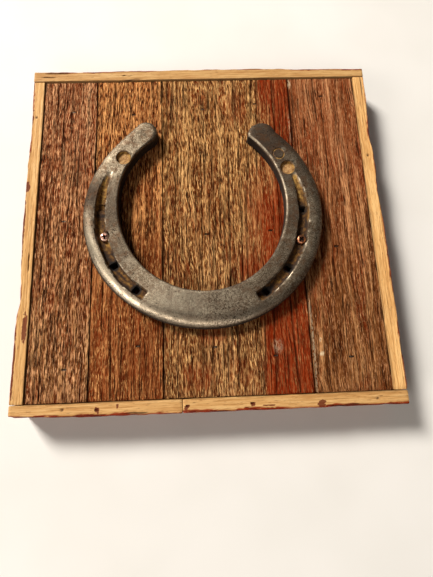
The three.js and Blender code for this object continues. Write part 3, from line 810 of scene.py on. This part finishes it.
def make_strip(name, seed):
    """One pine strip, holed for its brads, its outer upper edge worn back unevenly."""
    low, high = box_of(name)
    along = int(high[1] - low[1] > high[0] - low[0])
    across = 1 - along
    outward = 1 if low[across] + high[across] > 0 else -1
    inner_side, outer_side = (low[across], high[across])[::outward]
    place = name.split("_")[2]

    def marks(p):
        """Splits and pinholes in the strip's face."""
        depth = np.zeros(len(p))
        for where, x, y, half, wide in SPLITS:
            if where == place:
                v0, a0 = (y, x) if along else (x, y)
                bend = 0.3 * field(p[:, along], 0, 4, 1, 91)
                line = np.exp(-((p[:, across] - a0 - bend) / wide) ** 2)
                depth = np.maximum(depth, line * smooth(half, half * 0.6, abs(p[:, along] - v0)))
        for where, x, y in PINHOLES:
            if where == place:
                depth = np.maximum(depth, smooth(0.9, 0.45, np.hypot(p[:, 0] - x, p[:, 1] - y)))
        return depth

    def relief(a, v):
        p = np.zeros((len(a), 2))
        p[:, across], p[:, along] = a, v
        wave = 0.07 * field(a, v, 2.2, 30, seed + 1) + 0.04 * field(a, v, 0.8, 9, seed + 2)
        return wave - 0.1 - 0.5 * marks(p)

    def trim(v):
        back = np.interp(v, *WORN_BACK[place]) + 0.25 * max(0.0, field(v, 0, 5, 1, seed + 12))
        return (0.0, back) if outward > 0 else (back, 0.0)

    obj = plank(name + "_wood", low, high, along, 0.45, 1.2, relief, 0.35, seed, trim=trim)
    carve(obj, brad_holes(low, high), 50)
    p = points_of(obj)
    edge = outward * (outer_side - p[:, across]) - np.interp(p[:, along], *WORN_BACK[place])
    reach = 0.3 + 0.55 * field(p[:, along], 0, 9, 1, seed + 3)
    reach += 0.3 * field(p[:, along], 0, 2, 1, seed + 4)
    if place == "bottom":
        reach = reach + 0.8 * smooth(-96, -70, p[:, 0])
    paint = smooth(0.35, -0.05, edge - np.maximum(reach, 0.1))
    paint = np.maximum(paint, smooth(0.4, 1.0, high[2] - p[:, 2]) * smooth(0.9, 0.5, edge))
    x, y = p[:, 0], p[:, 1]
    here = [row[1:] for row in STAINS if row[0] == place]
    stain = spots(x, y, here, 1.3, 0.6, 0.3 * field(x, y, 1, 1, 95))
    on_face = smooth(high[2] - 2.0, high[2] - 1.0, p[:, 2])
    # The inner edge beside the boards is darkened as painted shade, with the real splits and pinholes.
    inner = outward * (p[:, across] - inner_side) + 0.2 * field(p[:, along], 0, 6, 1, seed)
    groove = np.maximum(marks(p[:, :2]), 0.5 * smooth(0.5, 0.1, inner))
    set_masks(obj, paint=paint, stain=stain * on_face, groove=groove * on_face)
    material = pine_material(name + "_wood", seed / 10, 0 if along else 90, STRIP_GAIN[place])
    return present(obj, "frame_pine", material, name)


def make_batten(place, seed):
    """One rough-sawn batten behind the boards."""
    name = "batten_" + place
    low, high = box_of(name)

    def relief(a, v):
        return 0.1 * field(a, v, 3, 30, seed) + 0.05 * field(a, v, 8, 1.2, seed + 1) - 0.15

    obj = plank(name + "_wood", low, high, 0, 1.6, 1.6, relief, 0.5, seed)
    p = points_of(obj)
    set_masks(obj, groove=smooth(-0.72, -0.95, field(p[:, 1], p[:, 0], 1.5, 30, seed + 3)))
    return present(obj, "batten_wood", batten_material(name + "_wood", seed / 10), name)


# ---- Horseshoe ----


def branch_edge(toe, arcs, side, end, step=1.0):
    """Points along one edge of one branch, from the toe round to the heel."""
    x, y = toe
    points, angle = [(x, y)], 0.0
    for radius, sweep_angle in arcs:
        stop = min(angle + sweep_angle, end)
        turned = np.radians(np.linspace(angle, stop, max(2, round((stop - angle) / step)) + 1)[1:])
        start = math.radians(angle)
        xs = x + side * radius * (np.sin(turned) - math.sin(start))
        ys = y + radius * (math.cos(start) - np.cos(turned))
        points += list(zip(xs, ys))
        x, y = points[-1]
        angle = stop
        if angle >= end:
            break
    return np.array(points)


def heel_cap(start, stop, count=40):
    """The rounded end of a branch from one edge across to the other."""
    middle = (start + stop) / 2
    reach = start - middle
    outward = np.array([-reach[1], reach[0]])
    outward *= HEEL_BULGE / np.hypot(*outward)
    turn = np.pi * np.arange(1, count) / count
    return middle + np.outer(np.cos(turn), reach) + np.outer(np.sin(turn), outward)


def polar(points):
    """Angle from the toe, positive to the right, in degrees, and distance from the centre."""
    away = points - CENTRE
    return np.degrees(np.arctan2(away[:, 0], -away[:, 1])), np.hypot(away[:, 0], away[:, 1])


def shoe_edges():
    """The shoe's outline split at its two heel tips into an outer and an inner line."""
    (right_out, right_in), (left_out, left_in) = (
        (branch_edge(OUTER_TOE, OUTER_ARCS[side], side, HEEL_ANGLES[side][0]),
         branch_edge(INNER_TOE, INNER_ARCS[side], side, HEEL_ANGLES[side][1]))
        for side in (1, -1)
    )
    ring = np.concatenate([
        right_out, heel_cap(right_out[-1], right_in[-1]), right_in[::-1],
        left_in[1:], heel_cap(left_in[-1], left_out[-1]), left_out[:0:-1],
    ])
    angle, _ = polar(ring)
    right_tip = int(np.argmax(angle))
    left_tip = int(np.argmin(angle))
    inner = ring[right_tip:left_tip + 1]
    outer = np.concatenate([ring[left_tip:], ring[:right_tip + 1]])
    return outer, inner[::-1]


def line_distance(points, line, bend):
    """Distance from each point to a line, and the line's rounding there."""
    start, run = line[:-1], np.diff(line, axis=0)
    length2 = (run ** 2).sum(1)
    best = np.full(len(points), 1e9)
    radius = np.zeros(len(points))
    for first in range(0, len(points), 4000):
        part = points[first:first + 4000, None, :] - start
        t = np.clip((part * run).sum(2) / length2, 0, 1)
        gap = np.hypot(*np.moveaxis(part - t[..., None] * run, 2, 0))
        k = gap.argmin(1)
        rows = np.arange(len(k))
        best[first:first + 4000] = gap[rows, k]
        radius[first:first + 4000] = bend[k] + (bend[k + 1] - bend[k]) * t[rows, k]
    return best, radius


def crease_at(angle, radius):
    """How deep the crease is, from 0 to 1, at an angle from the toe and a radius."""
    depth = np.zeros(len(angle))
    for side, (toe_end, heel_end) in CREASES.items():
        a = side * angle
        grown = np.clip((heel_end - a) / CREASE_TAPER, 0, 1)
        half = CREASE_HALF * (0.25 + 0.75 * np.sqrt(grown))
        wobble = 0.28 * field(a, side, 5, 1, 40) + 0.16 * field(a, side, 1.4, 1, 41)
        wall = smooth(half + 0.35, half - 0.6, abs(radius - CREASE_RADIUS - wobble))
        blunt = smooth(toe_end - 0.6, toe_end + 0.9, a + 0.4 * field(radius, side, 1.5, 1, 42))
        fade = 0.22 + 0.78 * smooth(0, 1, grown)
        depth = np.maximum(depth, wall * blunt * smooth(heel_end + 0.5, heel_end - 2.5, a) * fade)
    return depth


def at_toe(angle):
    """1 round the worn left side of the toe, where the outer edge is rolled most."""
    return smooth(-100, -60, angle) * smooth(48, 15, angle)


def dirt_streaks(angle, radius):
    """Dirt smeared along the crease, from -1 low and dark to 1 high and pale."""
    long = field(radius + 0.02 * angle, angle, 1.1, 6.5, 55)
    return 0.65 * long + 0.35 * field(radius, angle, 0.7, 2.2, 56)


def face_drop(points, outer, inner):
    """How far below the shoe's flat face each point lies."""
    angle, radius = polar(points)
    outer_angle, inner_angle = polar(outer)[0], polar(inner)[0]
    tips = outer_angle[[0, -1]]
    near_tip = smooth(15, 1, np.minimum(abs(outer_angle - tips[0]), abs(outer_angle - tips[1])))
    outer_bend = ROLLED_EDGE * (1 + 0.10 * field(outer_angle, 0, 14, 1, 50))
    outer_bend += 1.3 * at_toe(outer_angle)
    outer_bend += (HEEL_EDGE - outer_bend) * near_tip
    near_tip = smooth(10, 1, np.minimum(abs(inner_angle - tips[0]), abs(inner_angle - tips[1])))
    inner_bend = BROKEN_EDGE * (1 + 0.25 * field(inner_angle, 0, 9, 1, 51))
    inner_bend += (HEEL_EDGE - inner_bend) * near_tip
    drop = np.zeros(len(points))
    for line, bend, worn in ((outer, outer_bend, at_toe(angle)), (inner, inner_bend, 0)):
        gap, r = line_distance(points, line, bend)
        inward = np.clip(1 - gap / (EDGE_WIDENING * r), 0, 1)
        rolled = r * (1 - np.sqrt(1 - inward ** 2))
        facet = 0.8 * r * inward ** 1.45
        drop = np.maximum(drop, rolled + (facet - rolled) * FACET_SHARE * worn)
    x, y = points.T
    hammer = 0.06 * (1 + field(x, y, 8, 8, 52)) + 0.02 * (1 + field(x, y, 2.6, 2.6, 53))
    crease = crease_at(angle, radius)
    floor = CREASE_DEPTH + 0.4 * dirt_streaks(angle, radius)
    return drop + hammer + crease * (floor - 0.3)


def make_shoe():
    """The steel shoe, swept round its outline and then cut."""
    outer, inner = shoe_edges()
    (angle_out, radius_out), (angle_in, radius_in) = polar(outer), polar(inner)
    tip_low, tip_high = angle_out[0], angle_out[-1]
    steps = np.arange(15) / 14
    ends = steps ** 2 * TIP_SPREAD
    ends[0] = 0.02
    middle = np.linspace(tip_low + TIP_SPREAD, tip_high - TIP_SPREAD, SHOE_RINGS)[1:-1]
    angles = np.concatenate([tip_low + ends, middle, tip_high - ends[::-1]])
    r_out = np.interp(angles, angle_out, radius_out)[:, None]
    r_in = np.interp(angles, angle_in, radius_in)[:, None]
    wide = r_out - r_in
    wall_in = np.clip(CREASE_RADIUS - CREASE_WALL, r_in + 0.25 * wide, r_in + 0.55 * wide)
    wall_out = np.clip(CREASE_RADIUS + CREASE_WALL, wall_in + 0.15 * wide, r_in + 0.85 * wide)
    ease = 1 - np.cos(np.pi / 2 * steps)
    wall = np.array([0.08, 0.15, 0.22, 0.36, 0.5, 0.64, 0.78, 0.85, 0.92])
    outside = r_out - ease * (r_out - wall_out)
    across = wall_out - wall * (wall_out - wall_in)
    inside = r_in + ease[::-1] * (wall_in - r_in)
    top = np.concatenate([outside, across, inside], 1)
    turn = np.radians(angles)[:, None]
    unit = np.stack([np.sin(turn), -np.cos(turn)], -1)
    xy = CENTRE + top[..., None] * unit
    z = SHOE_FACE_Z - face_drop(xy.reshape(-1, 2), outer, inner).reshape(top.shape)
    # The back corners are broken too, then the flat back closes each ring.
    low = SHOE_BACK_Z
    broken = np.minimum(0.7, 0.3 * wide)
    rim_out, rim_in = z[:, :1] - low, z[:, -1:] - low
    up_out = low + np.concatenate([broken * (0.0, 0.3, 1.0), rim_out * (0.45, 0.8)], 1)
    up_in = low + np.concatenate([rim_in * (0.8, 0.45), broken * (1.0, 0.3, 0.0)], 1)
    sides_out = r_out - broken * (1.0, 0.3, 0.0, 0.0, 0.0)
    sides_out[:, 2:] += 0.12 * field(angles[:, None], up_out[:, 2:], 6, 2.5, 57) - 0.1
    sides_in = r_in + broken * (0.0, 0.0, 0.0, 0.3, 1.0)
    base = r_in + broken + (wide - 2 * broken) * np.linspace(0, 1, 7)[1:-1]
    radius = np.concatenate([sides_out, top, sides_in, base], 1)
    height = np.concatenate([up_out, z, up_in, low + 0 * base], 1)
    plan = CENTRE + radius[..., None] * unit
    obj = sweep("horseshoe_steel", np.concatenate([plan, height[..., None]], 2), 38)
    carve(obj, shoe_cutters(), 38)
    shoe_masks(obj)
    return present(obj, "horseshoe_steel", steel_material(), "horseshoe")


def nail_cutter(name, angle, layers):
    """A tapered hole with rounded corners, in the crease at an angle in degrees."""
    away = direction(math.radians(angle))
    side = np.array([-away[1], away[0]])
    middle = CENTRE + CREASE_RADIUS * away
    rings = []
    for z, wide, long in layers:
        ring = []
        for k in range(NAIL_HOLE_SIDES):
            t = 2 * math.pi * (k + 0.5) / NAIL_HOLE_SIDES
            c, s = math.cos(t), math.sin(t)
            u = wide * math.copysign(abs(c) ** 0.5, c)
            v = long * math.copysign(abs(s) ** 0.5, s)
            ring.append([*(middle + u * away + v * side), z])
        rings.append(ring)
    return sweep(name, np.array(rings))


def shoe_cutters():
    """Nail holes, stud holes, screw pockets and the stamped ring."""
    filled = [(FILLED_Z, 1.5, 1.3)] + NAIL_HOLE_SHAPE[2:]
    floor = SHOE_FACE_Z - STUD_DEPTH
    stud = [(0.3, floor - 0.05), (2.4, floor), (3.5, floor + 0.12), (3.85, floor + 0.4),
            (STUD_RADIUS, SHOE_FACE_Z - 0.9), (STUD_RADIUS + 0.12, SHOE_FACE_Z - 0.5),
            (STUD_RADIUS + 0.5, SHOE_FACE_Z + 0.2)]
    seat = SHOE_FACE_Z - CREASE_DEPTH
    pocket = [(1.7, 15), (1.7, seat), (2.95, seat), (3.0, seat + 1.2), (3.3, SHOE_FACE_Z + 1)]
    cutters = [nail_cutter(f"nail_{number}", angle, NAIL_HOLE_SHAPE if opened else filled)
               for number, (angle, opened) in enumerate(zip(NAIL_HOLES, NAIL_HOLES_OPEN))]
    cutters += [lathe("stud", stud, x, y, 64) for x, y in STUD_HOLES]
    cutters += [lathe("pocket", pocket, x, y, 48) for x, y in SCREWS.values()]
    return cutters + [ring_cutter(*STAMPED_RING, STAMPED_RADIUS)]


def ring_cutter(x, y, radius, tubes=12, sides=48):
    """A thin torus that leaves a shallow ring in the shoe's face."""
    around = np.linspace(0, 2 * math.pi, sides + 1)[:-1]
    rings = []
    for t in np.linspace(0, 2 * math.pi, tubes, endpoint=False):
        r, z = radius + 0.55 * math.cos(t), SHOE_FACE_Z + 0.5 * math.sin(t)
        rings.append(np.stack([x + r * np.cos(around), y + r * np.sin(around), z + 0 * around], -1))
    index = np.arange(tubes * sides).reshape(tubes, sides)
    far = np.roll(index, -1, 0)
    quads = np.stack([index, far, np.roll(far, -1, 1), np.roll(index, -1, 1)], -1).reshape(-1, 4)
    return make_object("ring", np.array(rings).reshape(-1, 3), quads.tolist())


# Browned parts of the shoe's face, darkened also as painted shade on the right branch, the left rim and
# the left heel: x, y, radius, strength.
TARNISH_AND_SHADE = [(40, 48, 24, 1.0), (49, 26, 18, 0.75), (48, 0, 16, 0.75), (44, -24, 16, 0.55),
           (32, -42, 14, 0.4), (12, -49, 12, 0.25), (-56, 8, 26, 0.75), (-50, -20, 20, 0.6),
           (-40, 46, 16, 0.15), (-67, 16, 18, 1.0), (-67, -6, 18, 0.9), (60, 16, 12, 0.4)]
# Worn parts, also brightened as painted highlights on the toe, the right stud hole's rim and the stamped
# ring's edge: x, y, radius, strength.
POLISH_AND_HIGHLIGHT = [(-14, -50, 24, 0.38), (8, -49, 18, 0.22), (50.8, 32.8, 1.6, 1.0),
          (51.6, 30.2, 1.2, 0.8), (46.0, 40.6, 1.5, 0.7)]
# Parts with specks of rust: x, y, radius, strength.
RUST = [(10, -50, 20, 1.0), (30, -42, 16, 0.7), (-12, -48, 12, 0.4), (46, 42, 18, 0.5),
        (-38, 48, 12, 0.5), (-48, 34, 8, 0.6)]


def shoe_masks(obj):
    """Where the shoe is dirty, rusted, browned or dark with scale and painted shade, and where it is worn
    bright with painted highlights.
    """
    p = points_of(obj)
    xy, deep = p[:, :2], SHOE_FACE_Z - p[:, 2]
    x, y = xy.T
    angle, radius = polar(xy)
    outside, left = radius > CREASE_RADIUS, angle < 0
    sunk = crease_at(angle, radius)
    crease = smooth(0.05, 0.3, sunk) * smooth(0.35, 1.0, deep)
    hole, packed = np.zeros(len(p)), np.zeros(len(p))
    # Open nail holes are painted near black inside: painted shade.
    for place, opened in zip(NAIL_HOLES, NAIL_HOLES_OPEN):
        near = np.hypot(*(xy - CENTRE - CREASE_RADIUS * direction(math.radians(place))).T)
        hole = np.maximum(hole, opened * smooth(3.4, 2.5, near) * smooth(1.6, 2.8, deep))
    # Each stud hole's wall takes crease dirt, and the packed dirt sits off to the lower left so a dark
    # ring shows: real dirt that also stands for painted crevice shade.
    for hole_x, hole_y in STUD_HOLES:
        near = np.hypot(x - hole_x, y - hole_y)
        crease = np.maximum(crease, smooth(4.4, 3.9, near) * smooth(0.4, 1.0, deep))
        near = np.hypot(x - hole_x + 0.4, y - hole_y + 0.4) + 0.4 * field(x, y, 1.5, 1.5, 62)
        packed = np.maximum(packed, smooth(3.6, 2.7, near) * (deep > 1.1))
    near = np.hypot(x - STAMPED_RING[0], y - STAMPED_RING[1])
    crease = np.maximum(crease, 0.9 * smooth(0.5, 0.28, abs(near - STAMPED_RADIUS)))
    stamp = 0.75 * smooth(3.4, 2.4, near) * smooth(-0.2, 0.5, field(x, y, 1.6, 1.6, 59))
    tarnish, polish, rust = (
        spots(x, y, [(at_x, at_y, reach, reach, strength) for at_x, at_y, reach, strength in rows],
              1.2, 0.2)
        for rows in (TARNISH_AND_SHADE, POLISH_AND_HIGHLIGHT, RUST)
    )
    # The rolled outer rim, the broken inner edge and the lips of the crease are worn bright and carry
    # painted highlights.
    outer, inner = shoe_edges()
    gap, _ = line_distance(xy, outer, np.zeros(len(outer)))
    inner_gap, _ = line_distance(xy, inner, np.zeros(len(inner)))
    rim = smooth(7.0, 2.6, gap) * smooth(0.3, 1.6, gap) * (deep < 4.6) * outside * at_toe(angle)
    rim *= 0.85 + 0.15 * field(x, y, 1.5, 1.5, 58)
    bevel = smooth(1.3, 0.9, inner_gap) * smooth(1.3, 0.8, deep) * ~outside * (crease < 0.01)
    bevel *= (0.1 + 0.35 * smooth(60, 115, angle)) * (0.75 + 0.4 * field(angle, 0, 3, 1, 60))
    lip = smooth(0.01, 0.06, sunk) * smooth(0.5, 0.25, sunk) * (deep < 1.3)
    inner_left = smooth(-90, -70, angle) * left * ~outside
    lip *= 0.4 + 0.3 * field(angle, radius, 4, 1, 61) + 0.35 * inner_left
    polish = np.max([polish, rim, bevel, lip], 0)
    # Scale darkens the walls and the toe's outer band, also as painted shade on these side faces, with
    # more painted shade on the right branch's inner bevel; dirt in the crease is pale at its heel ends.
    scale = np.where(outside, smooth(0.4 + 0.8 * at_toe(angle), 0.12, gap) * (deep > 1.0),
                     smooth(0.9, 1.6, deep))
    shaded_bevel = smooth(1.3, 0.7, inner_gap) * smooth(2, 10, angle) * smooth(95, 50, angle) * ~outside
    scale = np.maximum(scale, 0.6 * shaded_bevel) * (1 - np.clip(crease + packed, 0, 1))
    pale = np.maximum(*(smooth(30, 8, CREASES[side][1] - side * angle) for side in (-1, 1)))
    shaded = smooth(95, 60, angle) * (angle > 0)
    dirt = 0.5 + 0.25 * pale - 0.14 * shaded + 0.55 * dirt_streaks(angle, radius)
    tarnish *= 1 - np.clip(polish * 1.3, 0, 1)
    set_masks(obj, crease=crease, hole=hole, packed=packed, dirt=dirt, rust=np.maximum(rust, stamp),
              tarnish=tarnish, polish=polish, scale=scale)


# ---- Screws ----


def cross_cutters(x, y, top, turn):
    """Two tapered bars that leave a cross recess in a screw's head."""
    bars = []
    for bar_turn in (turn, turn + math.pi / 2):
        away = direction(bar_turn)
        across = np.array([-away[1], away[0]])
        rings = []
        for z, reach, half in ((top - 1.35, 0.75, 0.24), (top - 0.4, 1.55, 0.4), (top + 0.5, 1.85, 0.5)):
            corners = ((-reach, -half), (reach, -half), (reach, half), (-reach, half))
            rings.append([[*((x, y) + u * away + w * across), z] for u, w in corners])
        bars.append(sweep("bar", np.array(rings)))
    return bars


def make_screw(side, colours, seed, turn):
    """A pan-head screw with a cross recess and a rolled thread."""
    node = "horseshoe_screw_" + side
    low, high = box_of(node)
    x, y = (low[:2] + high[:2]) / 2
    head = (high[0] - low[0]) / 2
    top, seat = high[2], high[2] - 2.1
    around = np.linspace(0, 2 * math.pi, 32, endpoint=False)
    unit = np.stack([np.cos(around), np.sin(around), 0 * around], -1)
    rings = []
    pitch, tip = 1.4, low[2]
    for z in np.arange(tip + 0.05, seat - 3.0, 0.175):
        taper = min(1.0, 0.15 + (z - tip) / 3.2)
        phase = (z / pitch - around / (2 * math.pi)) % 1
        ridge = 0.36 * np.clip(1 - abs(phase - 0.5) * 3.2, 0, 1)
        rings.append(((1.0 + ridge) * taper)[:, None] * unit + (x, y, z))
    neck = [(1.05, seat - 2.9), (1.2, seat - 2.6), (1.2, seat - 0.3), (1.3, seat - 0.05)]
    rim = [(head - 0.1, seat), (head, seat + 0.12), (head, seat + 0.85), (head * 0.97, seat + 1.1)]
    dome = [(head * 0.9, seat + 1.45), (head * 0.78, seat + 1.75), (head * 0.6, top - 0.12),
            (head * 0.35, top - 0.03), (0.25, top)]
    for r, z in neck + rim + dome:
        rings.append(r * unit + (x, y, z))
    obj = sweep(node + "_metal", np.array(rings), 32)
    carve(obj, cross_cutters(x, y, top, turn), 32)
    p = points_of(obj)
    away = np.hypot(p[:, 0] - x, p[:, 1] - y)
    # The head's outer ring is worn and brightened as a painted highlight.
    set_masks(obj, rubbed=smooth(head * 0.4, head * 0.7, away) * (p[:, 2] > seat + 0.2))
    # Faces inside the cross recess, painted dark as shade.
    inside = []
    for face in obj.data.polygons:
        u, v, z = np.array(face.center) / MM - (x, y, top)
        under = -0.3 - 0.14 * (u * u + v * v)
        inside.append(float(z < under and math.hypot(u, v) < 1.75 and z > -1.8))
    set_masks(obj, "FACE", recess=inside)
    return present(obj, "copper_screw", copper_material(node + "_metal", colours, seed), node)


# ---- Build ----

make_shoe()
make_screw("left", [(120, 66, 50), (196, 124, 100), (226, 158, 134), (255, 226, 206)], 31, 0.2)
make_screw("right", [(84, 40, 26), (142, 78, 52), (176, 104, 72), (220, 158, 120)], 37, 0.75)
for number in (1, 2, 3, 4):
    make_board(number)
STRIPS = sorted(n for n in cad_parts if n.startswith("frame_strip_"))
for number, strip in enumerate(STRIPS):
    make_strip(strip, 610 + 40 * number)
for number, place in enumerate(("top", "middle", "bottom")):
    make_batten(place, 900 + 30 * number)

BRAD = small_metal("brad_steel", [(0.0, (30, 20, 16)), (0.5, (62, 52, 46)), (1.0, (118, 100, 84))],
                   1.2, 0.55, 61)
ZINC = small_metal("hanger_zinc", [(0.0, (132, 132, 128)), (0.5, (170, 170, 166)), (1.0, (206, 206, 202))],
                   2.6, 0.38, 63)
RUSTY = small_metal("rusty_brad", [(0.0, (70, 28, 16)), (0.5, (112, 48, 28)), (1.0, (150, 84, 54))],
                    1.0, 0.75, 65)
METALS = {"frame_front_brad": RUSTY, "frame_brad": BRAD, "board_brad": BRAD, "hanger_nail": BRAD,
          "sawtooth_hanger": ZINC}
for name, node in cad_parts.items():
    for start, metal in METALS.items():
        if name.startswith(start):
            node.data.materials.clear()
            node.data.materials.append(metal)

# ---- Floor, light and camera ----

FLOOR_HALF_M = 2.5


def make_floor():
    """A white floor, which is part of the set and not of the object."""
    mesh = bpy.data.meshes.new("floor")
    h = FLOOR_HALF_M
    mesh.from_pydata([(-h, -h, 0), (h, -h, 0), (h, h, 0), (-h, h, 0)], [], [(0, 1, 2, 3)])
    floor = bpy.data.objects.new("floor", mesh)
    SCENE.collection.objects.link(floor)
    g = Graph("floor")
    tone = g.noise(60, 2.0, 0.5, 1)
    colour = g.ramp(tone, [(0.3, (234, 232, 228)), (0.7, (240, 238, 235))])
    floor.data.materials.append(g.finish(colour, 0.9, tone, 0.01, specular=0.1))


def area_light(name, toward, distance, size, power, colour):
    """A soft light of size (wide, high) that shines at the plaque from a direction."""
    data = bpy.data.lights.new(name, "AREA")
    data.shape = "RECTANGLE"
    data.size, data.size_y = size
    data.energy, data.color = power, colour
    lamp = bpy.data.objects.new(name, data)
    away = Vector(toward).normalized()
    lamp.location = away * distance
    lamp.rotation_euler = away.to_track_quat("Z", "Y").to_euler()
    SCENE.collection.objects.link(lamp)


make_floor()
area_light("key", (-0.53, 0.54, 0.62), 2.4, (0.6, 0.6), 86.5, (1.0, 0.95, 0.87))
area_light("front", (-0.5, -0.9, 0.8), 2.0, (4.4, 0.3), 16.0, (1.0, 0.88, 0.77))
area_light("left", (-0.78, -0.38, 0.5), 2.0, (0.9, 0.5), 7.0, (1.0, 0.95, 0.88))

world = bpy.data.worlds.new("studio")
world.use_nodes = True
sky = world.node_tree.nodes["Background"]
sky.inputs["Color"].default_value = (1.0, 0.94, 0.89, 1)
sky.inputs["Strength"].default_value = 0.04
SCENE.world = world
SCENE.view_settings.view_transform = "Standard"

LENS, SENSOR_WIDTH = 22.94, 36
CAMERA_AT_M = (-0.000456, -0.080366, 0.215230)
CAMERA_AXES = ((0.99909, -0.03789, 0.01933), (0.03292, 0.97659, 0.21259), (-0.02694, -0.21176, 0.97695))
camera_data = bpy.data.cameras.new("camera")
camera_data.lens = LENS
camera_data.sensor_width = SENSOR_WIDTH
camera_data.clip_start = 0.005
camera = bpy.data.objects.new("camera", camera_data)
axes = Matrix(CAMERA_AXES).transposed()
camera.matrix_world = Matrix.Translation(CAMERA_AT_M) @ axes.to_4x4()
SCENE.collection.objects.link(camera)
SCENE.camera = camera
